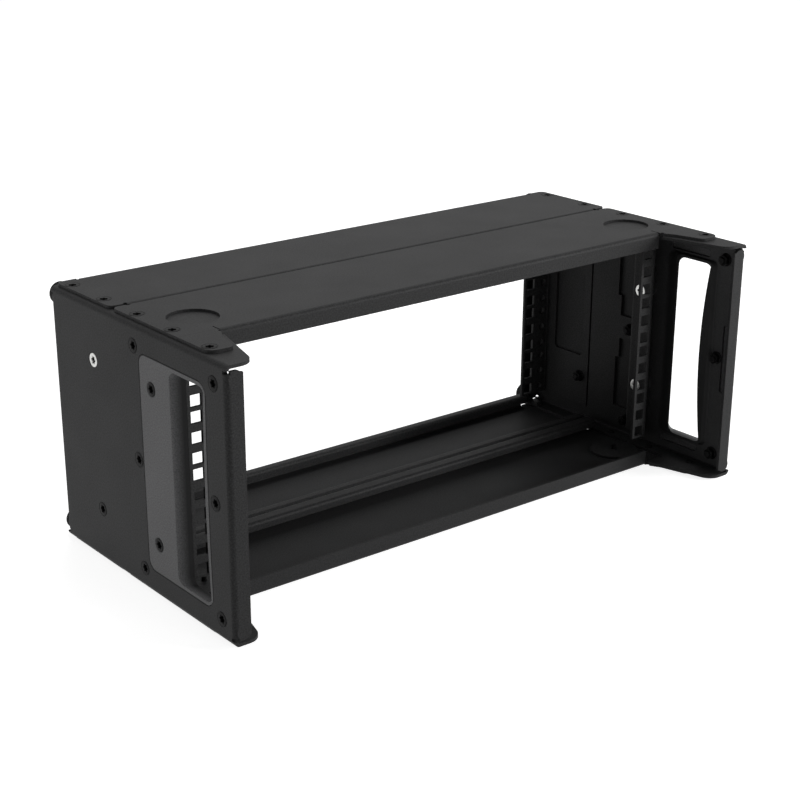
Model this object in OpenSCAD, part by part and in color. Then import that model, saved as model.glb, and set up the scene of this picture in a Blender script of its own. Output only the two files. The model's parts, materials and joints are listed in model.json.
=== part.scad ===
// Portable subrack card cage. Two folded side panels carry moulded handle inserts, four
// perforated rack rails and four folded covers, two above and two below.
// x runs across the width, y from front to back, z up. The origin is the centre of the base.

/* [Rack bay] */
// Height of the bay in rack units
rack_units = 4; // [3:1:6]
// Clear width between the left and right rails
rack_opening = 450; // [447:0.5:453]
// Distance of the square holes' column from the rails' inner edge
hole_inset = 7.55; // [6.6:0.05:8.6]
// Side of the square holes in the rails
square_hole = 9.5; // [8:0.1:10]
// Height above and below the bay, to the outside of the covers
headroom = 18; // [17:0.1:24]

/* [Overall] */
// Distance from the rails' inner edge to the side panels' outer face
side_space = 35; // [33:0.5:42]
// Depth of the side panels
depth = 245.6; // [243:0.2:260]
// Thickness of the sheet that panels, covers and rails are folded from
sheet = 2.5; // [2:0.1:2.8]

/* [Side panels] */
// Outer radius of the side panels' bends
panel_bend = 4; // [3.6:0.1:5]
// Width of the top and bottom flanges
flange = 17; // [16:0.1:20]
// Width of the ear on each flange, next to the front cover's fold
ear_root = 38; // [34:0.5:44]
// Width that the ear tapers to at the front, before its corner is rounded
ear_tip = 22.3; // [20:0.1:26]
// Radius of the ear's front corner
ear_corner = 12.5; // [8:0.5:15]
// Width of the front return
front_return = 14; // [12:0.5:18]
// Gap between the returns and the flanges
return_gap = 2; // [0.8:0.1:3]
// Width of the rear return
rear_return = 21.5; // [20:0.5:24]
// Radius of the returns' free corners
return_corner = 6; // [3:0.5:8]

/* [Covers] */
// Outer radius of the covers' bends
cover_bend = 3.2; // [3:0.1:4.5]
// Distance from a cover's side edge to the panel's outer face
cover_inset = 4.5; // [4.1:0.1:6]
// Front edge of the front covers' tabs
tab_front = 26.2; // [22:0.2:28]
// Radius of the tabs' outer front corner
tab_corner = 8; // [5:0.5:9]
// Front face of the front covers' front fold
front_fold_at = 63.7; // [60:0.1:72]
// Height of the front covers' front fold
front_fold_drop = 13.7; // [11:0.1:15]
// Height of the folds at the seam and at the rear
fold_drop = 15.4; // [13:0.1:16.4]
// Height of the lip that each folded return ends in
fold_lip = 7.5; // [5:0.1:9]
// Depth of the front covers' return at the seam
front_cover_hem = 13; // [9:0.5:16]
// Depth of the rear covers' returns
rear_cover_hem = 10.5; // [8:0.5:14]
// Middle of the seam between the front and rear covers
seam_at = 159.6; // [156:0.2:164]
// Gap between the front and rear covers' tabs
tab_gap = 3.5; // [2:0.1:5]
// Diameter of the round recess in the front covers
recess_d = 39; // [34:0.5:44]
// Depth of the round recess
recess_depth = 2; // [1:0.1:2.4]
// Distance of the round recess from the front
recess_at = 102.2; // [96:0.2:108]

/* [Front rails] */
// Width of a front rail's face
front_rail_face = 18.5; // [17.5:0.1:20]
// Depth of a front rail's side wall
front_rail_wall = 25.9; // [22:0.1:30]
// Height of the fixing tab at mid height
middle_tab = 22; // [18:0.5:28]
// Outer radius of the rails' bends
rail_bend = 4; // [3.6:0.1:5]

/* [Rear rails] */
// Distance from the rear rails' face to the panels' rear edge
rear_rail_inset = 14.9; // [12:0.1:18]
// Diameter of the round holes in the rear rails
round_hole_d = 6.5; // [5:0.1:8]
// Distance of the round holes from the panel's outer face
round_hole_inset = 12; // [10.5:0.1:13.5]
// Depth of a rear rail's side wall
rear_wall = 57.5; // [54:0.5:62]
// Distance from the rear rail's face to the window in its side wall
window_inset = 12; // [8:0.5:20]
// Width of the strip in front of the window
window_strip = 8; // [5:0.5:12]
// Height of the window
window_h = 81; // [60:1:95]

/* [Handle inserts] */
// Front edge of the insert's face
insert_at = 25.8; // [24.5:0.1:30]
// Length of the insert's face, front to rear
insert_length = 89.3; // [86:0.1:93]
// Radius of the face's rear corners
insert_rear_corner = 9; // [6:0.5:12]
// Radius of the face's front corners
insert_front_corner = 12; // [9:0.5:14]
// How far the face's front edge bows back at mid height
insert_bow = 1.5; // [0:0.1:3]
// Thickness of the insert's rim behind the panel
rim = 2.8; // [2.2:0.1:3.4]
// Height of the finger opening
grip_height = 163; // [150:1:165]
// Depth of the finger opening front to rear, at mid height on the inside
grip_opening = 29; // [25:0.5:32]
// Thickness of the grip bar at mid height
grip_bar = 10.4; // [8:0.1:13]
// How much slimmer the grip bar is at its ends than at mid height
grip_bow = 7.2; // [4:0.1:9]
// How far the opening's rear bevel flares outwards
bevel = 8.4; // [5:0.2:12]
// How far the collar round the opening stands in from the rim
collar = 3.2; // [2:0.1:4]

/* [Fasteners] */
// Diameter of the countersunk screw heads
head_d = 12; // [10.5:0.1:12.4]
// Height of the countersunk heads
head_h = 2.2; // [1.8:0.05:2.2]
// Diameter of the screws
screw_d = 6; // [5:0.1:6.5]
// Diameter of the star socket in the countersunk heads
socket_d = 5.6; // [4.4:0.1:5.8]
// Depth of the star socket
socket_depth = 2; // [1.2:0.1:2.4]
// Length of the cover screws
cover_screw_length = 6.3; // [5.6:0.1:8]
// Length that the side screws stand out of their nuts
screw_end = 1.4; // [0.5:0.1:2.5]
// Width of the nuts across flats
nut_flats = 10; // [9:0.1:10.4]
// Thickness of the nuts
nut_h = 5; // [4:0.1:5.4]
// Distance of the first cover screw from the front
first_cover_screw = 36; // [33:0.2:40]
// Distance of the last cover screw from the rear
last_cover_screw = 15.7; // [13:0.1:20]

/* [Bumpers and pads] */
// Diameter of the rear bumpers
bumper_d = 18; // [15:0.5:19]
// Length of the rear bumpers
bumper_h = 9.3; // [7:0.1:16]
// Distance of the bumpers' edge from the panel's outer face
bumper_inset = 3; // [2:0.1:4]
// Diameter of the hole for the screw head in each bumper
bumper_hole_d = 11; // [10:0.1:12]
// Diameter of the pan heads of the bumper and pad screws
pan_d = 9; // [8:0.1:9.5]
// Height of the pan heads
pan_h = 1.6; // [1:0.1:1.8]
// Diameter of the bumper and pad screws
pan_screw_d = 4; // [3.5:0.1:5]

/* [Hidden] */
$fn = 48;

// Rack standard: height of a unit and the heights of its three holes
rack_unit = 44.45;
unit_holes = [6.35, 22.225, 38.1];

// Relief notch between a return's bend and the wall's corner
notch = 0.6;
// Relief holes at the ends of the covers' folds
relief_r = 1.8;
// Overlap of the outlines that a cover's flat part is made of
lap = 20;

// Clearances: round a screw, under a countersunk head, beside a sheet edge
screw_clear = 0.15;
head_clear = 0.15;
edge_clear = 0.5;

// Heights, measured from mid height
bay_h = rack_units * rack_unit;
height = bay_h + 2 * headroom;
cover_z = height / 2 - sheet / 2;
flange_z = height / 2 - 1.5 * sheet;
flange_inner_z = height / 2 - 2 * sheet;
hole_heights = [for (u = [0 : rack_units - 1], h = unit_holes) (u * rack_unit + h) - bay_h / 2];

// Distances from the middle plane across the width
width = rack_opening + 2 * side_space;
outer_x = width / 2;
panel_x = outer_x - sheet / 2;
panel_inner_x = outer_x - sheet;
rim_x = panel_inner_x - rim;
collar_x = rim_x - collar;
plate_x = panel_inner_x - sheet / 2;
rail_inner_x = rack_opening / 2;
square_hole_x = rail_inner_x + hole_inset;
rail_wall_x = rail_inner_x + front_rail_face - sheet / 2;
boss_x = rail_inner_x + front_rail_face;
wall_screw_length = 11;
cover_x = outer_x - cover_inset;
flange_x = outer_x - flange;
return_x = outer_x - rear_return;
seam_x = flange_x - 2.2;
fold_x = return_x - 2.5;
bumper_x = outer_x - bumper_inset - bumper_d / 2;
bumper_z = height / 2 - sheet - bumper_d / 2;
cover_screw_x = cover_x - 0.5 - head_d / 2;

// Round recess: the raised side clears the flange
raised_r = recess_d / 2 + 2;
recess_x = flange_x - edge_clear - raised_r;

// Handle insert, front to rear and in height
insert_rear = insert_at + insert_length;
insert_h = bay_h - 7.8;
rim_front = panel_bend + edge_clear;
rim_h = 2 * (flange_inner_z - panel_bend + sheet) - 3;
rim_rear = insert_rear + 3;
insert_screw_y = insert_rear - 15.9;
insert_screw_z = insert_h / 2 - 24.2;
grip_h = min(grip_height, insert_h - 7);
grip_front = insert_at + grip_bar;
grip_rear = grip_front + grip_opening;
opening_corners = [8, 7, 7, 8];
rim_slot_h = 6.4;
rim_slot_depth = rim * 0.75;
rim_slot_at = insert_at + 8;
rim_slot_l = insert_length * 0.48;
rim_slit_at = rim_front + 4.3;
rim_slit_w = 4.6;
rim_slit_h = grip_h * 0.37;
boss_y = insert_screw_y;
boss_z = rack_unit;
boss_d = head_d + 1;

// Front rail, placed just behind the insert's screws
web_rear = insert_rear - 5.3;
web_y = web_rear - sheet / 2;
front_rail_y = web_rear - front_rail_wall + sheet / 2;
plate_h = bay_h + 14.4;
end_tab_h = 19;

// Rear rail and the gap to the front rail's plate
rear_rail_y = depth - rear_rail_inset + sheet / 2;
arm_front = depth - rear_rail_inset - rear_wall;
plate_rear = arm_front - 2;

// Screw rows: [y, z] on each panel
front_screws = [[insert_at - 9.6, bay_h / 2 - 0.9], [insert_at - 7.2, 0], [insert_at - 9.6, 0.9 - bay_h / 2]];
rail_screw_y = insert_rear + head_d / 2 + 0.8;
rail_screws = [[rail_screw_y, bay_h / 2 - 0.9], [rail_screw_y, 0], [rail_screw_y, 0.9 - bay_h / 2]];
rear_screw_y = arm_front + 10.3;
rear_screw_z = insert_screw_z;
insert_screws = [[insert_screw_y, insert_screw_z], [insert_screw_y, -insert_screw_z]];
cover_pitch = (depth - first_cover_screw - last_cover_screw) / 4;
cover_screws = [for (i = [0 : 4]) first_cover_screw + i * cover_pitch];

panel_grey = [0.2, 0.2, 0.21];
insert_grey = [0.27, 0.27, 0.28];
screw_black = [0.08, 0.08, 0.085];
rubber_black = [0.05, 0.05, 0.05];
zinc = [0.78, 0.78, 0.76];

// ---- Shared shapes ----

// Moves a shape from the working frame, whose y starts at the front face and whose z is at
// mid height, to the frame with its origin at the centre of the base
module placed() {
  translate([0, -(depth + bumper_h) / 2, height / 2]) children();
}

module left_side() {
  placed() mirror([1, 0, 0]) children();
}

module right_side() {
  placed() children();
}

// Turns a flat outline so that it is drawn in y and z and is `thick` deep in x, from x
module in_yz(x, thick) {
  translate([x, 0, 0]) rotate([90, 0, 90]) linear_extrude(thick) children();
}

// Folded sheet of even thickness along a path of right-angled corners
module folded_sheet(path, thick, outer_r) {
  r = outer_r - thick / 2;
  last = len(path) - 1;
  for (i = [0 : last - 1]) {
    along = (path[i + 1] - path[i]) / norm(path[i + 1] - path[i]);
    from = path[i] + along * (i == 0 ? 0 : r);
    to = path[i + 1] - along * (i == last - 1 ? 0 : r);
    across = [abs(along[1]), abs(along[0])];
    run = to - from;
    translate((from + to) / 2) square([abs(run[0]), abs(run[1])] + across * thick, center = true);
  }
  for (i = [1 : last - 1]) {
    before = (path[i] - path[i - 1]) / norm(path[i] - path[i - 1]);
    after = (path[i + 1] - path[i]) / norm(path[i + 1] - path[i]);
    translate(path[i] + (after - before) * r) intersection() {
      difference() {
        circle(outer_r);
        circle(outer_r - thick);
      }
      translate((before - after) * outer_r / 2) square(outer_r, center = true);
    }
  }
}

// Rectangle from corner a to corner b, with a radius for each corner, counted anticlockwise
module rounded_rectangle(a, b, radii) {
  corners = [a, [b[0], a[1]], b, [a[0], b[1]]];
  inward = [[1, 1], [-1, 1], [-1, -1], [1, -1]];
  polygon([for (i = [0 : 3], k = [0, 1])
    corners[i] + (k == i % 2 ? [0, inward[i][1]] : [inward[i][0], 0]) * radii[i]]);
  for (i = [0 : 3]) if (radii[i] > 0) {
    translate(corners[i] + inward[i] * radii[i]) circle(radii[i]);
  }
}

// Six-lobed driver socket
module star_socket(size, deep) {
  turn = 360 / 24;
  linear_extrude(deep) polygon([for (i = [0 : 23])
    (0.43 + 0.07 * cos(6 * i * turn)) * size * [cos(i * turn), sin(i * turn)]]);
}

// Countersunk screw with its head's face at the origin, running down
module countersunk_screw(length) {
  difference() {
    union() {
      translate([0, 0, -head_h]) cylinder(h = head_h, d1 = screw_d, d2 = head_d);
      translate([0, 0, -length]) cylinder(h = length - head_h, d = screw_d);
    }
    translate([0, 0, -socket_depth]) star_socket(socket_d, socket_depth + 1);
  }
}

// Hole that a countersunk screw drops into
module countersunk_hole(length) {
  over = 1;
  slope = (head_d - screw_d) / 2 / head_h;
  wide_r = head_d / 2 + head_clear;
  narrow_r = screw_d / 2 + screw_clear;
  cone_h = (wide_r - narrow_r) / slope;
  translate([0, 0, -cone_h]) cylinder(h = cone_h, r1 = narrow_r, r2 = wide_r);
  cylinder(h = over, r = wide_r);
  translate([0, 0, -length - over]) cylinder(h = length + over, r = narrow_r);
}

// Pan head screw with the underside of its head at the origin, running down
module pan_screw(head, length) {
  difference() {
    union() {
      cylinder(h = head, d = pan_d);
      translate([0, 0, -length]) cylinder(h = length + head / 2, d = pan_screw_d);
    }
    translate([0, 0, head * 0.45]) star_socket(3.8, head);
  }
}

module nut() {
  difference() {
    cylinder(h = nut_h, d = nut_flats / cos(30), $fn = 6);
    translate([0, 0, -1]) cylinder(h = nut_h + 2, d = screw_d + screw_clear);
  }
}

// Puts a shape that stands on z = 0 on the panel at [y, z], pointing outwards in x
module on_side(x, at) {
  translate([x, at[0], at[1]]) rotate([0, 90, 0]) children();
}

// ---- Side panel ----

// Plan of the flanges: the ear tapers to the front and ends at the front cover's fold
module flange_plan() {
  ear_end = front_fold_at - 3.9;
  slope = atan((ear_root - ear_tip) / ear_end);
  reach = ear_corner / tan((90 + slope) / 2);
  corner = [ear_tip - reach, ear_corner];
  touch = [ear_tip, 0] + reach * [sin(slope), cos(slope)];
  translate([outer_x, 0]) mirror([1, 0]) {
    polygon([[0, 0], [corner[0], 0], corner, touch, [ear_root, ear_end], [flange, ear_end + 3],
      [flange, depth], [0, depth]]);
    translate(corner) circle(ear_corner);
  }
}

// Front or rear return: a bend between the relief notches, and a plate up to the flanges
module panel_return(reach) {
  bend_z = flange_inner_z - max(panel_bend, return_gap);
  translate([0, 0, -bend_z]) linear_extrude(2 * bend_z) folded_sheet(
    [[outer_x - reach, sheet / 2], [panel_x, sheet / 2], [panel_x, panel_bend + 1]], sheet, panel_bend);
  top = flange_inner_z - return_gap;
  translate([0, sheet, 0]) rotate([90, 0, 0]) linear_extrude(sheet) rounded_rectangle(
    [outer_x - reach, -top], [outer_x - panel_bend, top], [return_corner, 0, 0, return_corner]);
}

module panel_blank() {
  notch_z = flange_inner_z - return_gap + notch;
  section = [[outer_x - ear_root - 1, -flange_z], [panel_x, -flange_z], [panel_x, flange_z],
    [outer_x - ear_root - 1, flange_z]];
  difference() {
    intersection() {
      translate([0, depth, 0]) rotate([90, 0, 0]) linear_extrude(depth)
        folded_sheet(section, sheet, panel_bend);
      translate([0, 0, -height / 2]) linear_extrude(height) flange_plan();
    }
    for (y = [0, depth]) {
      translate([panel_x, y, 0]) cube([2 * sheet, 2 * panel_bend, 2 * notch_z], center = true);
    }
  }
  panel_return(front_return);
  translate([0, depth, 0]) mirror([0, 1, 0]) panel_return(rear_return);
}

module side_panel() {
  difference() {
    panel_blank();
    in_yz(panel_inner_x - 1, sheet + 2) insert_outline(0.3);
    for (at = concat(front_screws, rail_screws, rear_screws())) {
      on_side(outer_x, at) countersunk_hole(sheet + 1);
    }
    for (y = cover_screws, s = [-1, 1]) {
      translate([cover_screw_x, y, s * flange_z])
        cylinder(h = 2 * sheet, d = screw_d + screw_clear, center = true);
    }
    for (s = [-1, 1]) {
      translate([bumper_x, depth, s * bumper_z]) rotate([90, 0, 0])
        cylinder(h = 3 * sheet, d = pan_screw_d + screw_clear, center = true);
    }
  }
}

function rear_screws() = [[rear_screw_y, rear_screw_z], [rear_screw_y, -rear_screw_z]];

// ---- Handle insert ----

// Face outline in y and z: rounded corners and a front edge that bows back
module insert_outline(grow) {
  half = insert_h / 2 + grow;
  bow_r = (insert_h * insert_h / 4 + insert_bow * insert_bow) / 2 / max(insert_bow, 0.1);
  rf = insert_front_corner;
  rr = insert_rear_corner;
  difference() {
    rounded_rectangle([insert_at - grow, -half], [insert_rear + grow, half], [rf, rr, rr, rf]);
    if (insert_bow > 0) {
      translate([insert_at - grow + insert_bow - bow_r, 0]) circle(bow_r, $fn = 720);
    }
  }
}

// Rim behind the panel, stepped back at the rear where the front rail's tabs pass
module rim_outline() {
  half = rim_h / 2;
  tab_z = bay_h / 2 - 0.9 - end_tab_h / 2 - 3;
  step_y = web_rear - sheet - 3;
  difference() {
    rounded_rectangle([rim_front, -half], [rim_rear, half], [5, 3, 3, 5]);
    for (s = [-1, 1]) {
      translate([step_y, s > 0 ? tab_z : -half - 1]) square([rim_rear, half + 1 - tab_z]);
    }
    translate([step_y, -middle_tab / 2 - 3]) square([rim_rear, middle_tab + 6]);
  }
}

// Front edge of the finger opening at height z, for a bar with this crest
function bar_edge(crest, bow, z) = crest - bow * pow(2 * z / grip_h, 2);

// Grip bar as the opening meets it: rounded over its outer edge and slimmer at both ends
module grip_bar_form() {
  crests = [[outer_x, 0.45, 0.4], [outer_x - 1.5, 0.26, 0.6], [outer_x - 4, 0.09, 0.8], [collar_x - 1, 0, 1]];
  steps = 16;
  hull() for (c = crests) {
    in_yz(c[0], 0.02) polygon(concat(
      [[insert_at - 10, -grip_h / 2 - 2], [insert_at - 10, grip_h / 2 + 2]],
      [for (i = [steps : -1 : -steps])
        [bar_edge(grip_front - c[1] * grip_bar, c[2] * grip_bow, i / steps * grip_h / 2),
          i / steps * (grip_h / 2 + 2)]]));
  }
}

// Finger opening through the insert: bevelled at the rear, round at its corners
module finger_opening() {
  over = 1;
  slope = bevel / (outer_x - collar_x);
  front = insert_at + 1.5;
  difference() {
    hull() {
      in_yz(collar_x - over, 0.1) rounded_rectangle(
        [front, -grip_h / 2], [grip_rear - slope * over, grip_h / 2], opening_corners);
      in_yz(outer_x + over, 0.1) rounded_rectangle(
        [front, -grip_h / 2], [grip_rear + bevel + slope * over, grip_h / 2], opening_corners);
    }
    grip_bar_form();
  }
}

// Collar round the opening on the inside, with sloping sides
module collar_form() {
  hull() {
    in_yz(rim_x, 0.5) rounded_rectangle(
      [insert_at - 1.8, -grip_h / 2 - 3], [grip_rear + 14.8, grip_h / 2 + 3], [6, 6, 6, 6]);
    in_yz(collar_x, 0.5) rounded_rectangle(
      [insert_at + 1.2, -grip_h / 2 - 2.2], [grip_rear + 2.3, grip_h / 2 + 2.2], [6, 6, 6, 6]);
  }
}

module handle_insert() {
  slot_z = grip_h / 2 + 8;
  difference() {
    union() {
      in_yz(panel_inner_x, sheet) insert_outline(0);
      in_yz(rim_x, rim) rim_outline();
      collar_form();
      for (s = [-1, 1]) on_side(boss_x, [boss_y, s * boss_z]) cylinder(h = rim_x + 1 - boss_x, d = boss_d);
    }
    finger_opening();
    for (s = [-1, 1]) {
      on_side(boss_x - 1, [boss_y, s * boss_z]) cylinder(h = wall_screw_length, d = screw_d + 2 * screw_clear);
    }
    for (at = insert_screws) on_side(outer_x, at) countersunk_hole(sheet + rim + 1);
    for (at = front_screws) {
      on_side(rim_x - 1, at) cylinder(h = rim + 2, d = screw_d + 2 * screw_clear);
    }
    for (s = [-1, 1]) {
      in_yz(rim_x - 1, rim_slot_depth + 1) rounded_rectangle(
        [rim_slot_at, s * slot_z - rim_slot_h / 2], [rim_slot_at + rim_slot_l, s * slot_z + rim_slot_h / 2],
        [2, 2, 2, 2]);
    }
    in_yz(rim_x - 1, rim_slot_depth + 1) rounded_rectangle(
      [rim_slit_at, -rim_slit_h / 2], [rim_slit_at + rim_slit_w, rim_slit_h / 2], [1.5, 1.5, 1.5, 1.5]);
  }
}

// ---- Covers ----

// One tab in front of the fold: it narrows from the fold to its rounded front corners
module front_tab() {
  tip = outer_x - ear_tip - 3.5;
  root = outer_x - ear_root + 1;
  nose = 5;
  intersection() {
    translate([root - tab_corner, tab_front])
      square([cover_x - root + tab_corner, front_fold_at + lap - tab_front]);
    union() {
      polygon([[root, front_fold_at - 1.5], [tip - 5.3, front_fold_at - 12.5], [tip, tab_front + nose],
        [tip + nose, tab_front + nose], [tip + nose, tab_front], [cover_x - tab_corner, tab_front],
        [cover_x - tab_corner, tab_front + tab_corner], [cover_x, tab_front + tab_corner],
        [cover_x, front_fold_at + lap], [root, front_fold_at + lap]]);
      translate([tip + nose, tab_front + nose]) circle(nose);
      translate([cover_x - tab_corner, tab_front + tab_corner]) circle(tab_corner);
    }
  }
}

// Flat part of a front cover, from the tabs to the seam
module front_cover_plan() {
  difference() {
    union() {
      for (side = [0, 1]) mirror([side, 0]) {
        front_tab();
        rounded_rectangle([0, front_fold_at + lap / 2], [cover_x, seam_at - tab_gap / 2], [0, 0, 5, 0]);
      }
      translate([-outer_x + ear_root, front_fold_at + cover_bend])
        square([width - 2 * ear_root, lap]);
      translate([-seam_x, seam_at - lap]) square([2 * seam_x, lap - cover_bend - 0.2]);
    }
    for (side = [-1, 1]) {
      translate([side * (outer_x - ear_root + 1.6), front_fold_at - 1.5]) circle(relief_r);
      translate([side * (seam_x + 1.2), seam_at - 2]) circle(relief_r);
    }
  }
}

// Folded edge of a cover that spans twice half_span: fold, return and lip
module cover_fold(face_y, toward, drop, hem, half_span) {
  y = face_y + toward * sheet / 2;
  low = height / 2 - drop;
  path = [[face_y + toward * (cover_bend + 1), cover_z], [y, cover_z], [y, low + (hem > 0 ? sheet / 2 : 0)]];
  hem_y = face_y + toward * (hem - sheet / 2);
  back = hem > 0 ? [[hem_y, low + sheet / 2], [hem_y, low + fold_lip]] : [];
  in_yz(-half_span, 2 * half_span) folded_sheet(concat(path, back), sheet, cover_bend);
}

// Round recess: raised on the inside, and its hollow to cut from the outside
module recess_boss() {
  for (s = [-1, 1]) {
    translate([s * recess_x, recess_at, height / 2 - sheet - recess_depth])
      cylinder(h = recess_depth + sheet / 2, r = raised_r);
  }
}

module recess_hollow() {
  for (s = [-1, 1]) {
    translate([s * recess_x, recess_at, height / 2 - recess_depth])
      cylinder(h = recess_depth + 1, d = recess_d);
  }
}

module cover_screw_holes(first, last) {
  for (i = [first : last], s = [-1, 1]) {
    translate([s * cover_screw_x, cover_screws[i], height / 2]) countersunk_hole(sheet + 1);
  }
}

module front_cover() {
  difference() {
    union() {
      translate([0, 0, height / 2 - sheet]) linear_extrude(sheet) front_cover_plan();
      cover_fold(front_fold_at, 1, front_fold_drop, 0, outer_x - ear_root);
      cover_fold(seam_at - 0.2, -1, fold_drop, front_cover_hem, seam_x);
      recess_boss();
    }
    recess_hollow();
    cover_screw_holes(0, 2);
  }
}

// Flat part of a rear cover, from the seam to the rear edge
module rear_cover_plan() {
  difference() {
    union() {
      translate([-cover_x, seam_at + tab_gap / 2]) difference() {
        rounded_rectangle([0, 0], [2 * cover_x, depth - 1.2 - seam_at - tab_gap / 2], [5, 5, 5, 5]);
        translate([cover_x - fold_x, depth - seam_at - tab_gap / 2 - cover_bend])
          square([2 * fold_x, cover_bend]);
      }
      translate([-seam_x, seam_at + cover_bend + 0.2]) square([2 * seam_x, 20]);
    }
    translate([-seam_x, seam_at]) square([2 * seam_x, cover_bend + 0.2]);
    for (side = [-1, 1]) {
      translate([side * (seam_x + 1.2), seam_at + 2]) circle(relief_r);
      translate([side * (fold_x + 1), depth - cover_bend + 0.6]) circle(relief_r);
    }
  }
}

module rear_cover() {
  difference() {
    union() {
      translate([0, 0, height / 2 - sheet]) linear_extrude(sheet) rear_cover_plan();
      cover_fold(seam_at + 0.2, 1, fold_drop, rear_cover_hem, seam_x);
      cover_fold(depth, -1, fold_drop, rear_cover_hem, fold_x);
    }
    cover_screw_holes(3, 4);
  }
}

// ---- Rails ----

module rack_holes(x, y, size, round_hole) {
  for (z = hole_heights) {
    translate([x, y, z]) rotate([90, 0, 0]) {
      if (round_hole) cylinder(h = 3 * sheet, d = size, center = true);
      else cube([size, size, 3 * sheet], center = true);
    }
  }
}

// Front rail: face, side wall, web to the panel and a fixing plate with a stepped front edge
module front_rail() {
  section = [[rail_inner_x, front_rail_y], [rail_wall_x, front_rail_y], [rail_wall_x, web_y],
    [plate_x, web_y], [plate_x, web_rear + 8]];
  tab_z = plate_h / 2 - end_tab_h;
  difference() {
    union() {
      translate([0, 0, -bay_h / 2]) linear_extrude(bay_h) folded_sheet(section, sheet, rail_bend);
      in_yz(plate_x - sheet / 2, sheet) rail_plate_outline(tab_z);
    }
    // Between the tabs the web stops short of the insert's rim and the panel
    for (s = [-1, 1]) {
      low = s > 0 ? middle_tab / 2 : -tab_z;
      translate([rim_x - edge_clear, web_y - rail_bend, low])
        cube([2 * rail_bend + rim, 2 * rail_bend + 10, tab_z - middle_tab / 2]);
    }
    rack_holes(square_hole_x, front_rail_y, square_hole, false);
    for (s = [-1, 1]) {
      at_wall_screw(s) countersunk_hole(sheet + 1);
    }
    for (at = rail_screws) {
      on_side(plate_x, at) cylinder(h = 2 * sheet, d = screw_d + 2 * screw_clear, center = true);
    }
  }
}

// Head of a screw on the wall's inner side, running outwards into the insert's boss
module at_wall_screw(s) {
  translate([boss_x - sheet, boss_y, s * boss_z]) rotate([0, -90, 0]) children();
}

module rail_plate_outline(tab_z) {
  tab_front_y = web_rear + 1.5;
  step = 4;
  step_z = bay_h / 6;
  front = web_rear + 24.4;
  difference() {
    rounded_rectangle([tab_front_y, -plate_h / 2], [plate_rear, plate_h / 2], [3, 3, 3, 3]);
    for (s = [-1, 1]) {
      low = s > 0 ? middle_tab / 2 : -step_z - 1;
      translate([tab_front_y - 1, low]) square([front - tab_front_y + 1, step_z + 1 - middle_tab / 2]);
      wide = s > 0 ? step_z : -tab_z;
      translate([tab_front_y - 1, wide]) square([front + step - tab_front_y + 1, tab_z - step_z]);
    }
  }
}

// Rear rail: wide face with two columns of holes, and a wall with a window against the panel
module rear_rail() {
  section = [[rail_inner_x, rear_rail_y], [plate_x, rear_rail_y], [plate_x, arm_front]];
  difference() {
    translate([0, 0, -bay_h / 2]) linear_extrude(bay_h) folded_sheet(section, sheet, rail_bend);
    in_yz(plate_x - sheet, 2 * sheet) rounded_rectangle(
      [arm_front + window_strip, -window_h / 2], [rear_rail_y - sheet / 2 - window_inset, window_h / 2],
      [4, 4, 4, 4]);
    rack_holes(square_hole_x, rear_rail_y, square_hole, false);
    rack_holes(outer_x - round_hole_inset, rear_rail_y, round_hole_d, true);
    for (at = rear_screws()) {
      on_side(plate_x, at) cylinder(h = 2 * sheet, d = screw_d + 2 * screw_clear, center = true);
    }
  }
}

// ---- Fasteners, bumpers and pads ----

module cover_screw_set() {
  for (y = cover_screws, s = [-1, 1]) {
    translate([s * cover_screw_x, y, height / 2]) countersunk_screw(cover_screw_length);
  }
}

// Screws at a list of places, long enough for a nut on the surface at nut_x
module side_screws(places, nut_x) {
  for (at = places) on_side(outer_x, at) countersunk_screw(outer_x - nut_x + nut_h + screw_end);
}

module side_nuts(places, nut_x) {
  for (at = places) on_side(nut_x - nut_h, at) nut();
}

module panel_screws() {
  side_screws(front_screws, rim_x);
  side_screws(rail_screws, plate_x - sheet / 2);
}

module panel_nuts() {
  side_nuts(front_screws, rim_x);
  side_nuts(rail_screws, plate_x - sheet / 2);
}

// Rubber bumper on the rear return, with a pocket for its screw's head
module bumper() {
  difference() {
    union() {
      cylinder(h = bumper_h - 1, d = bumper_d);
      translate([0, 0, bumper_h - 1]) cylinder(h = 1, d1 = bumper_d, d2 = bumper_d - 2);
    }
    translate([0, 0, bumper_h / 2]) cylinder(h = bumper_h, d = bumper_hole_d);
    translate([0, 0, -1]) cylinder(h = bumper_h, d = pan_screw_d + screw_clear);
  }
}

module at_bumpers() {
  for (sx = [-1, 1], sz = [-1, 1]) {
    translate([sx * bumper_x, depth, sz * bumper_z]) rotate([-90, 0, 0]) children();
  }
}

// Pad that fills a recess in the bottom cover, level with the cover's outer face
module foot_pad() {
  difference() {
    cylinder(h = recess_depth, d = recess_d - 1);
    translate([0, 0, pad_head_z()]) cylinder(h = recess_depth, d = pan_d + 1);
    translate([0, 0, -1]) cylinder(h = recess_depth + 2, d = pan_screw_d + screw_clear);
  }
}

function pad_head_z() = recess_depth * 0.25;

// Frame of a recess in the bottom cover: z = 0 on its floor, running out of the cover
module at_recesses() {
  for (s = [-1, 1]) {
    translate([s * recess_x, recess_at, recess_depth - height / 2]) rotate([180, 0, 0]) children();
  }
}

// ---- Nodes ----

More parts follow.
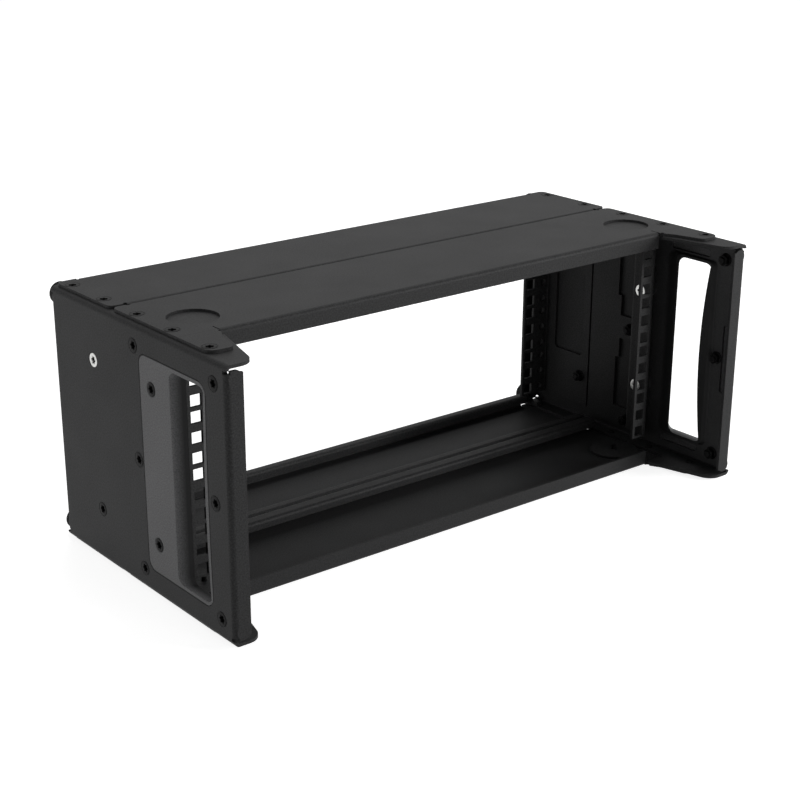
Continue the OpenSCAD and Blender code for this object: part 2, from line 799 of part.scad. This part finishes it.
module side_panel_left() { color(panel_grey) left_side() side_panel(); }
module side_panel_right() { color(panel_grey) right_side() side_panel(); }
module handle_insert_left() { color(insert_grey) left_side() handle_insert(); }
module handle_insert_right() { color(insert_grey) right_side() handle_insert(); }
module top_front_cover() { color(panel_grey) placed() front_cover(); }
module top_rear_cover() { color(panel_grey) placed() rear_cover(); }
module bottom_front_cover() {
  color(panel_grey) placed() difference() {
    mirror([0, 0, 1]) front_cover();
    at_recesses() translate([0, 0, -2 * sheet]) cylinder(h = 3 * sheet, d = pan_screw_d + screw_clear);
  }
}
module bottom_rear_cover() { color(panel_grey) placed() mirror([0, 0, 1]) rear_cover(); }
module front_rail_left() { color(panel_grey) left_side() front_rail(); }
module front_rail_right() { color(panel_grey) right_side() front_rail(); }
module rear_rail_left() { color(panel_grey) left_side() rear_rail(); }
module rear_rail_right() { color(panel_grey) right_side() rear_rail(); }
module top_cover_screws() { color(screw_black) placed() cover_screw_set(); }
module bottom_cover_screws() { color(screw_black) placed() mirror([0, 0, 1]) cover_screw_set(); }
module panel_screws_left() { color(screw_black) left_side() panel_screws(); }
module panel_screws_right() { color(screw_black) right_side() panel_screws(); }
module insert_screws_left() { color(screw_black) left_side() side_screws(insert_screws, rim_x); }
module insert_screws_right() { color(screw_black) right_side() side_screws(insert_screws, rim_x); }
module rear_rail_upper_screws() {
  color(zinc) for (side = [0, 1]) {
    placed() mirror([side, 0, 0]) side_screws([rear_screws()[0]], plate_x - sheet / 2);
  }
}
module rear_rail_lower_screws() {
  color(screw_black) for (side = [0, 1]) {
    placed() mirror([side, 0, 0]) side_screws([rear_screws()[1]], plate_x - sheet / 2);
  }
}
module panel_nuts_left() { color(zinc) left_side() panel_nuts(); }
module panel_nuts_right() { color(zinc) right_side() panel_nuts(); }
module insert_nuts_left() { color(zinc) left_side() side_nuts(insert_screws, rim_x); }
module insert_nuts_right() { color(zinc) right_side() side_nuts(insert_screws, rim_x); }
module rear_rail_nuts() {
  color(zinc) for (side = [0, 1]) {
    placed() mirror([side, 0, 0]) side_nuts(rear_screws(), plate_x - sheet / 2);
  }
}
module rail_wall_screws() {
  color(zinc) for (side = [0, 1], s = [-1, 1]) {
    placed() mirror([side, 0, 0]) at_wall_screw(s) countersunk_screw(wall_screw_length);
  }
}
module rear_bumpers() { color(rubber_black) placed() at_bumpers() bumper(); }
module bumper_screws() {
  color(screw_black) placed() at_bumpers() {
    translate([0, 0, bumper_h / 2]) pan_screw(pan_h, bumper_h / 2 + sheet + 2);
  }
}
module foot_pads() { color(rubber_black) placed() at_recesses() foot_pad(); }
module foot_pad_screws() {
  color(screw_black) placed() at_recesses() {
    translate([0, 0, pad_head_z()]) pan_screw(recess_depth * 0.7, pad_head_z() + sheet + 3.8);
  }
}

side_panel_left();
side_panel_right();
handle_insert_left();
handle_insert_right();
top_front_cover();
top_rear_cover();
bottom_front_cover();
bottom_rear_cover();
front_rail_left();
front_rail_right();
rear_rail_left();
rear_rail_right();
top_cover_screws();
bottom_cover_screws();
panel_screws_left();
panel_screws_right();
insert_screws_left();
insert_screws_right();
rear_rail_upper_screws();
rear_rail_lower_screws();
panel_nuts_left();
panel_nuts_right();
insert_nuts_left();
insert_nuts_right();
rear_rail_nuts();
rail_wall_screws();
rear_bumpers();
bumper_screws();
foot_pads();
foot_pad_screws();
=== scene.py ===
"""Looks for the subrack card cage: coated sheet, grained mouldings, turned screws and nuts, and a studio."""

import json
import math

import bmesh
import bpy
from mathutils import Matrix, Vector


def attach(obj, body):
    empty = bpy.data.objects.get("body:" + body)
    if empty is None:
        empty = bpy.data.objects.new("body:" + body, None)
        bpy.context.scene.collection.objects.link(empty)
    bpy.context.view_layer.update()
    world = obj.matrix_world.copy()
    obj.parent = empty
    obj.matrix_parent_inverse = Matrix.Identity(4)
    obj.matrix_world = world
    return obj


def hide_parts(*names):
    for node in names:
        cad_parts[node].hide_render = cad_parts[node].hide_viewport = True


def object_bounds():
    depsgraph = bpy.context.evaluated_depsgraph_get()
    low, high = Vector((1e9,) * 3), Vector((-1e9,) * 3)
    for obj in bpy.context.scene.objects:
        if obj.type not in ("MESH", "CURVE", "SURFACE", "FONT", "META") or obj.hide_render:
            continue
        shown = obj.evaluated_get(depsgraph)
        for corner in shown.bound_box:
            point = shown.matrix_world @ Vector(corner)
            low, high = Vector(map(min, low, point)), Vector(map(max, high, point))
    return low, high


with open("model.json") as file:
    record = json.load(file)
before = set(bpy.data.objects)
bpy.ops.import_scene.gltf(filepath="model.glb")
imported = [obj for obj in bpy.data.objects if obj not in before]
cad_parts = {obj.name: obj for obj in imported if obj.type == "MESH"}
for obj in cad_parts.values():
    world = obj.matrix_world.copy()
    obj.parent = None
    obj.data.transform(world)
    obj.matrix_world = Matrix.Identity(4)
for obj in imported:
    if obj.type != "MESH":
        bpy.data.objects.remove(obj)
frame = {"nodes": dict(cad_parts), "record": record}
cad_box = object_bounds()

MM = 0.001
HALF_HEIGHT = 0.5 * cad_box[1][2]

# ---- Camera: metres and degrees, in the part's own frame ----

CAMERA_AT = (-0.8072, -0.9905, 0.5543)
CAMERA_TURN = -37.77
CAMERA_DIP = 20.84
CAMERA_ROLL = -0.16
CAMERA_LENS = 73.56
CAMERA_SHIFT = (0.0354, 0.0364)


def make_camera():
    data = bpy.data.cameras.new("camera")
    data.sensor_width = 36.0
    data.lens = CAMERA_LENS
    data.shift_x, data.shift_y = CAMERA_SHIFT
    data.clip_start = 0.01
    data.clip_end = 30.0
    camera = bpy.data.objects.new("camera", data)
    bpy.context.scene.collection.objects.link(camera)
    turn = Matrix.Rotation(math.radians(CAMERA_TURN), 4, "Z")
    dip = Matrix.Rotation(math.radians(90.0 - CAMERA_DIP), 4, "X")
    roll = Matrix.Rotation(math.radians(CAMERA_ROLL), 4, "Z")
    camera.matrix_world = Matrix.Translation(CAMERA_AT) @ turn @ dip @ roll
    bpy.context.scene.camera = camera


# ---- Helpers for shader nodes ----

def new_material(name):
    material = bpy.data.materials.new(name)
    material.use_nodes = True
    tree = material.node_tree
    shader = tree.nodes["Principled BSDF"]
    return material, tree, shader


def coordinates(tree, space="Object"):
    """X, Y and Z of the shaded point, by name."""
    where = tree.nodes.new("ShaderNodeTexCoord")
    split = tree.nodes.new("ShaderNodeSeparateXYZ")
    tree.links.new(where.outputs[space], split.inputs["Vector"])
    return split.outputs


def noise(tree, scale, detail=2.0, roughness=0.5):
    """Noise in the object's own space, so its grain has one real size everywhere."""
    where = tree.nodes.new("ShaderNodeTexCoord")
    texture = tree.nodes.new("ShaderNodeTexNoise")
    texture.inputs["Scale"].default_value = scale
    texture.inputs["Detail"].default_value = detail
    texture.inputs["Roughness"].default_value = roughness
    tree.links.new(where.outputs["Object"], texture.inputs["Vector"])
    return texture.outputs["Fac"]


def spread(tree, value, low, high, start=0.3, end=0.7):
    """Maps start..end to low..high; most of a noise lies between 0.3 and 0.7."""
    node = tree.nodes.new("ShaderNodeMapRange")
    node.inputs["From Min"].default_value = start
    node.inputs["From Max"].default_value = end
    node.inputs["To Min"].default_value = low
    node.inputs["To Max"].default_value = high
    tree.links.new(value, node.inputs["Value"])
    return node.outputs["Result"]


def maths(tree, operation, first, second=0.0):
    """A Math node; each value is a socket or a number."""
    node = tree.nodes.new("ShaderNodeMath")
    node.operation = operation
    for place, value in enumerate((first, second)):
        if isinstance(value, (int, float)):
            node.inputs[place].default_value = value
        else:
            tree.links.new(value, node.inputs[place])
    return node.outputs["Value"]


def distance_from(tree, value, at):
    return maths(tree, "ABSOLUTE", maths(tree, "SUBTRACT", value, at))


def mixed_colour(tree, factor, first, second):
    """Goes from the first colour to the second by the factor; each is a socket or a colour."""
    node = tree.nodes.new("ShaderNodeMix")
    node.data_type = "RGBA"
    tree.links.new(factor, node.inputs["Factor"])
    for name, colour in (("A", first), ("B", second)):
        if isinstance(colour, tuple):
            node.inputs[name].default_value = (*colour, 1.0)
        else:
            tree.links.new(colour, node.inputs[name])
    return node.outputs["Result"]


def grain_bump(tree, shader, height, strength, distance, edge_radius=None):
    """Fine relief, on top of slightly rounded edges where a radius is given."""
    bump = tree.nodes.new("ShaderNodeBump")
    bump.inputs["Strength"].default_value = strength
    bump.inputs["Distance"].default_value = distance
    tree.links.new(height, bump.inputs["Height"])
    if edge_radius is not None:
        rounding = tree.nodes.new("ShaderNodeBevel")
        rounding.samples = 4
        rounding.inputs["Radius"].default_value = edge_radius
        tree.links.new(rounding.outputs["Normal"], bump.inputs["Normal"])
    tree.links.new(bump.outputs["Normal"], shader.inputs["Normal"])


def painted_recess_shade(tree, colour, floor_level):
    """Paints shade into a colour inside slots and sockets, darkening it where ambient occlusion finds the
    surface hemmed in.
    """
    hollow = tree.nodes.new("ShaderNodeAmbientOcclusion")
    hollow.samples = 8
    hollow.only_local = True
    hollow.inputs["Distance"].default_value = 3.0 * MM
    openness = spread(tree, hollow.outputs["AO"], 0.0, 1.0, start=0.55, end=0.95)
    return mixed_colour(tree, openness, (floor_level, floor_level, floor_level), colour)


def near_line(tree, axis, at, reach):
    """One on the plane where a coordinate equals a value, falling to zero a reach away."""
    distance = distance_from(tree, coordinates(tree)[axis], at)
    return spread(tree, distance, 1.0, 0.0, start=0.0, end=reach)


def outside_border(tree, place, middle, half, radius, width):
    """One from a line's width inside a rounded rectangle's edge outwards, in depth and height."""
    over = []
    for axis, centre, size in zip("YZ", middle, half):
        over.append(maths(tree, "SUBTRACT", distance_from(tree, place[axis], centre), size - radius))
    legs = [maths(tree, "POWER", maths(tree, "MAXIMUM", leg, 0.0), 2.0) for leg in over]
    corner = maths(tree, "SQRT", maths(tree, "ADD", legs[0], legs[1]))
    flat = maths(tree, "MINIMUM", maths(tree, "MAXIMUM", over[0], over[1]), 0.0)
    distance = maths(tree, "SUBTRACT", maths(tree, "ADD", corner, flat), radius)
    return spread(tree, distance, 0.0, 1.0, start=-width, end=-0.6 * width)


def inside_circle(tree, place, middle, radius, width):
    """One from a line's width outside a circle inwards, in depth and height."""
    squares = []
    for axis, centre in zip("YZ", middle):
        away = maths(tree, "SUBTRACT", place[axis], centre)
        squares.append(maths(tree, "MULTIPLY", away, away))
    distance = maths(tree, "SQRT", maths(tree, "ADD", squares[0], squares[1]))
    return spread(tree, distance, 1.0, 0.0, start=radius + 0.6 * width, end=radius + width)


# ---- Materials ----

def grey(level):
    """A grey with a trace of blue."""
    return (level, level, level * 1.02)


PLASTIC_SPECULAR = 0.12
COAT_DARK = grey(0.010)
COAT_LIGHT = grey(0.035)
# Painted shade along the press mark by the front covers' front bend: its place in depth, its reach, its
# colour
CREASE_AT = -60.6 * MM
CREASE_REACH = 0.7 * MM
CREASE_SHADE_COLOUR = (0.006, 0.006, 0.006)


def powder_coat(crease_shaded=False):
    """Fine-textured matt powder coat; a crease-shaded one has painted shade along the press mark beside a
    bend.
    """
    material, tree, shader = new_material("powder_coat")
    pimples = noise(tree, scale=800.0, detail=3.0, roughness=0.7)
    clouds = noise(tree, scale=25.0)
    colour = mixed_colour(tree, spread(tree, pimples, 0.0, 1.0), COAT_DARK, COAT_LIGHT)
    if crease_shaded:
        # Painted shade: a dark line along the press mark
        colour = mixed_colour(tree, near_line(tree, "Y", CREASE_AT, CREASE_REACH), colour, CREASE_SHADE_COLOUR)
    tree.links.new(colour, shader.inputs["Base Color"])
    tree.links.new(spread(tree, clouds, 0.53, 0.57), shader.inputs["Roughness"])
    shader.inputs["Specular IOR Level"].default_value = PLASTIC_SPECULAR
    grain_bump(tree, shader, pimples, strength=0.5, distance=0.18 * MM, edge_radius=0.35 * MM)
    return material


# Painted shade on the inserts: their plastic goes from dark to mottled grey between two distances from the
# middle, dark on the inner side that gets little light
INSERT_SHADE = grey(0.018)
INSERT_GREYS = (grey(0.088), grey(0.190))
INSERT_SHADE_FADE = (253.5 * MM, 259.7 * MM)
# Outline of the inserts' faces in depth and height; the front edge bows back along a circle
INSERT_MIDDLE = (-57.0 * MM, HALF_HEIGHT)
INSERT_HALF = (44.65 * MM, 85.0 * MM)
INSERT_RADIUS = 9.0 * MM
INSERT_BOW = 1.5 * MM
BOW_RADIUS = (INSERT_HALF[1] ** 2 + INSERT_BOW ** 2) / (2.0 * INSERT_BOW)
BOW_MIDDLE = (INSERT_MIDDLE[0] - INSERT_HALF[0] + INSERT_BOW - BOW_RADIUS, HALF_HEIGHT)
# Painted shadow in the gap round the outline: its width, its colour, and how far out from the middle it
# begins
GAP_WIDTH = 1.1 * MM
GAP_SHADOW_COLOUR = (0.002, 0.002, 0.002)
GAP_BEGINS = (257.4 * MM, 257.7 * MM)


def grey_moulding():
    """Grained plastic of the handle inserts: grey outside, painted shade makes it nearly black towards the
    inside, and a painted shadow lines the gap round its face.
    """
    material, tree, shader = new_material("grey_moulding")
    grain = noise(tree, scale=900.0, detail=3.0, roughness=0.7)
    clouds = noise(tree, scale=30.0)
    place = coordinates(tree)
    out = maths(tree, "ABSOLUTE", place["X"])
    mottled = mixed_colour(tree, spread(tree, grain, 0.0, 1.0), *INSERT_GREYS)
    # Painted shade: darker towards the inner side
    shaded_tone = mixed_colour(tree, spread(tree, out, 0.0, 1.0, *INSERT_SHADE_FADE), INSERT_SHADE, mottled)
    border = outside_border(tree, place, INSERT_MIDDLE, INSERT_HALF, INSERT_RADIUS, GAP_WIDTH)
    bow = inside_circle(tree, place, BOW_MIDDLE, BOW_RADIUS, GAP_WIDTH)
    edge = maths(tree, "MAXIMUM", border, bow)
    gap_shadow = maths(tree, "MULTIPLY", edge, spread(tree, out, 0.0, 1.0, *GAP_BEGINS))
    # Painted shadow: a dark line in the gap round the insert's face
    tree.links.new(mixed_colour(tree, gap_shadow, shaded_tone, GAP_SHADOW_COLOUR), shader.inputs["Base Color"])
    tree.links.new(spread(tree, clouds, 0.50, 0.55), shader.inputs["Roughness"])
    shader.inputs["Specular IOR Level"].default_value = PLASTIC_SPECULAR
    grain_bump(tree, shader, grain, strength=0.5, distance=0.15 * MM, edge_radius=0.6 * MM)
    return material


def black_zinc():
    """Black-plated steel of the screws and nuts: satin, with faint wear and painted shade in its recesses.
    """
    material, tree, shader = new_material("black_zinc")
    wear = noise(tree, scale=900.0, detail=4.0, roughness=0.6)
    worn = spread(tree, wear, 0.0, 1.0, start=0.45, end=0.75)
    colour = mixed_colour(tree, worn, grey(0.006), grey(0.016))
    tree.links.new(painted_recess_shade(tree, colour, floor_level=0.001), shader.inputs["Base Color"])
    tree.links.new(spread(tree, wear, 0.34, 0.46), shader.inputs["Roughness"])
    shader.inputs["Specular IOR Level"].default_value = 0.05
    grain_bump(tree, shader, wear, strength=0.1, distance=0.1 * MM)
    return material


def bright_zinc():
    """Bright zinc plating: pale metal with soft mottling and painted shade in its recesses."""
    material, tree, shader = new_material("bright_zinc")
    mottle = noise(tree, scale=500.0, detail=3.0, roughness=0.6)
    colour = mixed_colour(tree, spread(tree, mottle, 0.0, 1.0), (0.50, 0.50, 0.49), (0.68, 0.68, 0.66))
    tree.links.new(painted_recess_shade(tree, colour, floor_level=0.004), shader.inputs["Base Color"])
    tree.links.new(spread(tree, mottle, 0.28, 0.42), shader.inputs["Roughness"])
    shader.inputs["Metallic"].default_value = 1.0
    grain_bump(tree, shader, mottle, strength=0.1, distance=0.1 * MM)
    return material


def rubber():
    """Matt moulded rubber with a dusty sheen."""
    material, tree, shader = new_material("rubber")
    grain = noise(tree, scale=900.0)
    colour = mixed_colour(tree, spread(tree, grain, 0.0, 1.0), grey(0.010), grey(0.018))
    tree.links.new(colour, shader.inputs["Base Color"])
    tree.links.new(spread(tree, grain, 0.68, 0.8), shader.inputs["Roughness"])
    shader.inputs["Specular IOR Level"].default_value = PLASTIC_SPECULAR
    grain_bump(tree, shader, grain, strength=0.2, distance=0.1 * MM, edge_radius=0.4 * MM)
    return material


MATERIAL_MAKERS = {
    "powder_coat": powder_coat,
    "grey_moulding": grey_moulding,
    "black_screw": black_zinc,
    "bright_screw": bright_zinc,
    "rubber": rubber,
}


def dress_nodes():
    """Gives each CAD node the material of the slot that the record names for it."""
    finishes = {slot: make() for slot, make in MATERIAL_MAKERS.items()}
    crease_shaded = powder_coat(crease_shaded=True)
    for part in frame["record"]["subparts"]:
        finish = finishes[part["material_slot"]]
        # The front covers get the coat with painted shade along the press mark
        if part["node"].endswith("front_cover"):
            finish = crease_shaded
        for slot in frame["nodes"][part["node"]].material_slots:
            slot.material = finish
    return finishes


# ---- Fasteners: the CAD's plain screws and nuts with threads, lips, flanges and chamfers ----
# Their sizes are in millimetres. Depths count from a screw's head, heights from a nut's foot.

RING = 36
HEAD_RING_GAP = 0.5
HEAD_HEIGHT = 2.2
SOCKET_MEAN = 2.9
SOCKET_LOBE = 0.45
SOCKET_DEPTH = 2.0
DIMPLE_RADIUS = 0.3
DIMPLE_DEPTH = 0.35
# The socket from its floor to its lip: share of its size, depth
SOCKET_STEPS = [(0.86, SOCKET_DEPTH), (0.97, 0.3), (1.06, 0.02)]
# The head's rounded rim: distance in from its edge, depth
RIM_STEPS = [(0.4, 0.0), (0.12, 0.06), (0.0, 0.25)]

THREAD_CREST = 3.0
THREAD_CUT = 0.38
THREAD_PITCH = 1.0
RINGS_PER_TURN = 4.0
THREAD_START = 0.05
NECK_FLARE = 0.1
NECK_HEIGHT = 0.15
TIP_LENGTH = 0.6
# The tip's chamfer: distance in from the crest, height over the end
TIP_STEPS = [(0.4, 0.25), (0.7, 0.0)]

NUT_BORE = 3.05
BORE_CHAMFER_WIDTH = 0.35
BORE_CHAMFER_DEPTH = 0.4
NUT_FLATS = 8.6
NUT_TOP_SHARE = 0.94
NUT_CORNER_SLOPE = 0.58
# Where the hexagon meets the flange: distance out from its sides, height
FILLET_STEPS = [(0.0, 1.6), (0.15, 1.35)]
# The flange from there to its foot: radius, height
FLANGE_STEPS = [(5.4, 0.95), (5.65, 0.6), (5.65, 0.0)]


def solid_boxes(node):
    """Lowest and highest corner of each separate solid in a CAD node."""
    form = bmesh.new()
    form.from_mesh(node.data)
    bmesh.ops.remove_doubles(form, verts=form.verts, dist=1e-7)
    left = set(form.verts)
    boxes = []
    while left:
        stack = [left.pop()]
        points = []
        while stack:
            vert = stack.pop()
            points.append(vert.co.copy())
            for edge in vert.link_edges:
                other = edge.other_vert(vert)
                if other in left:
                    left.remove(other)
                    stack.append(other)
        low = Vector([min(p[i] for p in points) for i in range(3)])
        high = Vector([max(p[i] for p in points) for i in range(3)])
        boxes.append((low, high))
    form.free()
    return sorted(boxes, key=lambda box: tuple(box[0]))


def circle(radius):
    return [radius] * RING


def star(share):
    """Radii of the six-lobed socket."""
    return [share * (SOCKET_MEAN + SOCKET_LOBE * math.cos(6.0 * math.tau * i / RING)) for i in range(RING)]


def hexagon(flats):
    """Radii of a hexagon by its width across the flats."""
    sector = math.tau / 6.0
    radii = []
    for i in range(RING):
        off = (math.tau * i / RING + sector / 2.0) % sector - sector / 2.0
        radii.append(0.5 * flats / math.cos(off))
    return radii


def thread(length):
    """Rings of a helical thread, from under the head to the tip."""
    rings = []
    step = THREAD_PITCH / RINGS_PER_TURN
    count = int((length - HEAD_HEIGHT - TIP_LENGTH) / step)
    for k in range(count + 1):
        z = -HEAD_HEIGHT - THREAD_START - k * step
        radii = []
        for i in range(RING):
            turn = (z / THREAD_PITCH - i / RING) % 1.0
            radii.append(THREAD_CREST - THREAD_CUT * (1.0 - abs(2.0 * turn - 1.0)))
        rings.append((radii, z))
    return rings


def screw_rings(length, head_radius):
    """Countersunk screw from its socket's floor, over the head and down the thread."""
    outer = head_radius - HEAD_RING_GAP
    rings = [(circle(DIMPLE_RADIUS), -SOCKET_DEPTH - DIMPLE_DEPTH)]
    rings += [(star(share), -depth) for share, depth in SOCKET_STEPS]
    rings += [(circle(outer - inset), -depth) for inset, depth in RIM_STEPS]
    rings += [(circle(THREAD_CREST + NECK_FLARE), -HEAD_HEIGHT + NECK_HEIGHT)]
    rings += thread(length)
    rings += [(circle(THREAD_CREST - inset), -length + rise) for inset, rise in TIP_STEPS]
    return rings


def nut_rings(height):
    """Flanged hexagon nut, from the rim of its bore outwards and down to its foot."""
    corners = hexagon(NUT_FLATS)
    top = 0.5 * NUT_FLATS * NUT_TOP_SHARE
    rings = [
        (circle(NUT_BORE), height - BORE_CHAMFER_DEPTH),
        (circle(NUT_BORE + BORE_CHAMFER_WIDTH), height),
        (circle(top), height),
        (corners, [height - NUT_CORNER_SLOPE * (radius - top) for radius in corners]),
    ]
    rings += [([radius + out for radius in corners], level) for out, level in FILLET_STEPS]
    rings += [(circle(radius), level) for radius, level in FLANGE_STEPS]
    rings += [(circle(NUT_BORE), 0.0)]
    return rings


def add_skin(form, rings, place, closed_loop):
    """Adds the surface through a list of rings to a bmesh, placed by a matrix in metres."""
    rows = []
    for radii, height in rings:
        row = []
        for i, radius in enumerate(radii):
            turn = math.tau * i / RING
            z = height[i] if isinstance(height, list) else height
            point = Vector((radius * math.cos(turn), radius * math.sin(turn), z)) * MM
            row.append(form.verts.new(place @ point))
        rows.append(row)
    pairs = list(zip(rows, rows[1:]))
    if closed_loop:
        pairs.append((rows[-1], rows[0]))
    for row, following in pairs:
        for i in range(RING):
            j = (i + 1) % RING
            form.faces.new((row[i], following[i], following[j], row[j]))
    if not closed_loop:
        form.faces.new(rows[0])
        form.faces.new(list(reversed(rows[-1])))


def add_fastener(form, low, high, axis, facing, is_nut):
    """Adds a screw or a nut in a plain one's box, looking the way that its place asks for."""
    seat = 0.5 * (low + high)
    side = facing(seat)
    # A screw sits by its head, on the side that it looks to; a nut sits by its foot
    seat[axis] = high[axis] if (side > 0) != is_nut else low[axis]
    direction = Vector((0.0, 0.0, 0.0))
    direction[axis] = float(side)
    turn = direction.to_track_quat("Z", "Y").to_matrix().to_4x4()
    length = (high[axis] - low[axis]) / MM
    if is_nut:
        rings = nut_rings(length)
    else:
        head_radius = 0.5 * max(high[i] - low[i] for i in range(3) if i != axis) / MM
        rings = screw_rings(length, head_radius)
    add_skin(form, rings, Matrix.Translation(seat) @ turn, closed_loop=is_nut)


def turned_piece(node_name, axis, facing, is_nut, finish):
    """Redraws all the solids of a fastener node as one piece, which replaces the node."""
    form = bmesh.new()
    for low, high in solid_boxes(frame["nodes"][node_name]):
        add_fastener(form, low, high, axis, facing, is_nut)
    bmesh.ops.recalc_face_normals(form, faces=form.faces)
    mesh = bpy.data.meshes.new("turned_" + node_name)
    form.to_mesh(mesh)
    form.free()
    mesh.shade_smooth()
    mesh.set_sharp_from_angle(angle=math.radians(32.0))
    mesh.materials.append(finish)
    piece = bpy.data.objects.new("turned_" + node_name, mesh)
    bpy.context.scene.collection.objects.link(piece)
    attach(piece, "root")
    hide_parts(node_name)


def outward_x(middle):
    return 1 if middle.x > 0.0 else -1


def inward_x(middle):
    return -outward_x(middle)


def upward(middle):
    return 1


def downward(middle):
    return -1


# For each node: the axis that it lies along, which way it looks, and whether it is a nut
FASTENERS = {
    "panel_screws_left": (0, outward_x, False),
    "panel_screws_right": (0, outward_x, False),
    "insert_screws_left": (0, outward_x, False),
    "insert_screws_right": (0, outward_x, False),
    "rear_rail_upper_screws": (0, outward_x, False),
    "rear_rail_lower_screws": (0, outward_x, False),
    "rail_wall_screws": (0, inward_x, False),
    "top_cover_screws": (2, upward, False),
    "bottom_cover_screws": (2, downward, False),
    "panel_nuts_left": (0, inward_x, True),
    "panel_nuts_right": (0, inward_x, True),
    "insert_nuts_left": (0, inward_x, True),
    "insert_nuts_right": (0, inward_x, True),
    "rear_rail_nuts": (0, inward_x, True),
}


def make_fasteners(finishes):
    slots = {part["node"]: part["material_slot"] for part in frame["record"]["subparts"]}
    for name, (axis, facing, is_nut) in FASTENERS.items():
        turned_piece(name, axis, facing, is_nut, finishes[slots[name]])


# ---- Floor, backdrop and light ----

FLOOR_SIZE = 12.0
FLOOR_DROP = 0.1 * MM
FLOOR_GLOW = 0.85
# The world's light goes from its front to its rear strength between these Y of its direction
WORLD_FADE = (-0.1, 0.4)


def shown_ray(tree):
    """One for the rays that show the background: from the camera, a glossy surface or glass."""
    path = tree.nodes.new("ShaderNodeLightPath")
    seen = maths(tree, "MAXIMUM", path.outputs["Is Camera Ray"], path.outputs["Is Glossy Ray"])
    return maths(tree, "MAXIMUM", seen, path.outputs["Is Transmission Ray"])


def show_apart(tree, lighting, shown, surface):
    """Gives the rays that show the background another shader than those that only light."""
    seen = tree.nodes.new("ShaderNodeMixShader")
    tree.links.new(shown_ray(tree), seen.inputs["Fac"])
    tree.links.new(lighting, seen.inputs[1])
    tree.links.new(shown, seen.inputs[2])
    tree.links.new(seen.outputs["Shader"], surface)


def make_floor():
    bpy.ops.mesh.primitive_plane_add(size=FLOOR_SIZE, location=(0.0, 0.0, cad_box[0][2] - FLOOR_DROP))
    floor = bpy.context.object
    floor.name = "floor"
    material, tree, shader = new_material("floor")
    shader.inputs["Base Color"].default_value = (0.62, 0.62, 0.62, 1.0)
    shader.inputs["Roughness"].default_value = 0.9
    shader.inputs["Specular IOR Level"].default_value = 0.1
    glow = tree.nodes.new("ShaderNodeEmission")
    glow.inputs["Strength"].default_value = FLOOR_GLOW
    both = tree.nodes.new("ShaderNodeAddShader")
    tree.links.new(shader.outputs["BSDF"], both.inputs[0])
    tree.links.new(glow.outputs["Emission"], both.inputs[1])
    surface = tree.nodes["Material Output"].inputs["Surface"]
    show_apart(tree, shader.outputs["BSDF"], both.outputs["Shader"], surface)
    floor.data.materials.append(material)


def make_world(front, rear, background):
    """Soft light, weaker from the front half, with a white background for the camera."""
    world = bpy.data.worlds.new("studio")
    bpy.context.scene.world = world
    world.use_nodes = True
    tree = world.node_tree
    light = tree.nodes["Background"]
    light.inputs["Color"].default_value = (1.0, 1.0, 1.0, 1.0)
    strength = spread(tree, coordinates(tree, "Generated")["Y"], front, rear, *WORLD_FADE)
    tree.links.new(strength, light.inputs["Strength"])
    white = tree.nodes.new("ShaderNodeBackground")
    white.inputs["Strength"].default_value = background
    surface = tree.nodes["World Output"].inputs["Surface"]
    show_apart(tree, light.outputs["Background"], white.outputs["Background"], surface)


def softbox(name, place, size, watts):
    """Square area lamp that faces the middle of the object."""
    data = bpy.data.lights.new(name, "AREA")
    data.shape = "SQUARE"
    data.size = size
    data.energy = watts
    lamp = bpy.data.objects.new(name, data)
    bpy.context.scene.collection.objects.link(lamp)
    middle = Vector((0.0, 0.0, HALF_HEIGHT))
    lamp.location = place
    lamp.rotation_euler = (Vector(place) - middle).to_track_quat("Z", "Y").to_euler()


make_camera()
make_fasteners(dress_nodes())
make_floor()
make_world(front=0.10, rear=0.34, background=1.0)
softbox("above", place=(0.6, 0.7, 2.2), size=1.2, watts=16.0)
softbox("left", place=(-3.0, 0.4, 0.5), size=0.6, watts=13.5)
softbox("front_right", place=(1.9, -1.9, 0.8), size=0.9, watts=54.0)
softbox("front", place=(0.2, -2.5, 0.75), size=1.0, watts=7.0)

bpy.context.scene.view_settings.view_transform = "Standard"
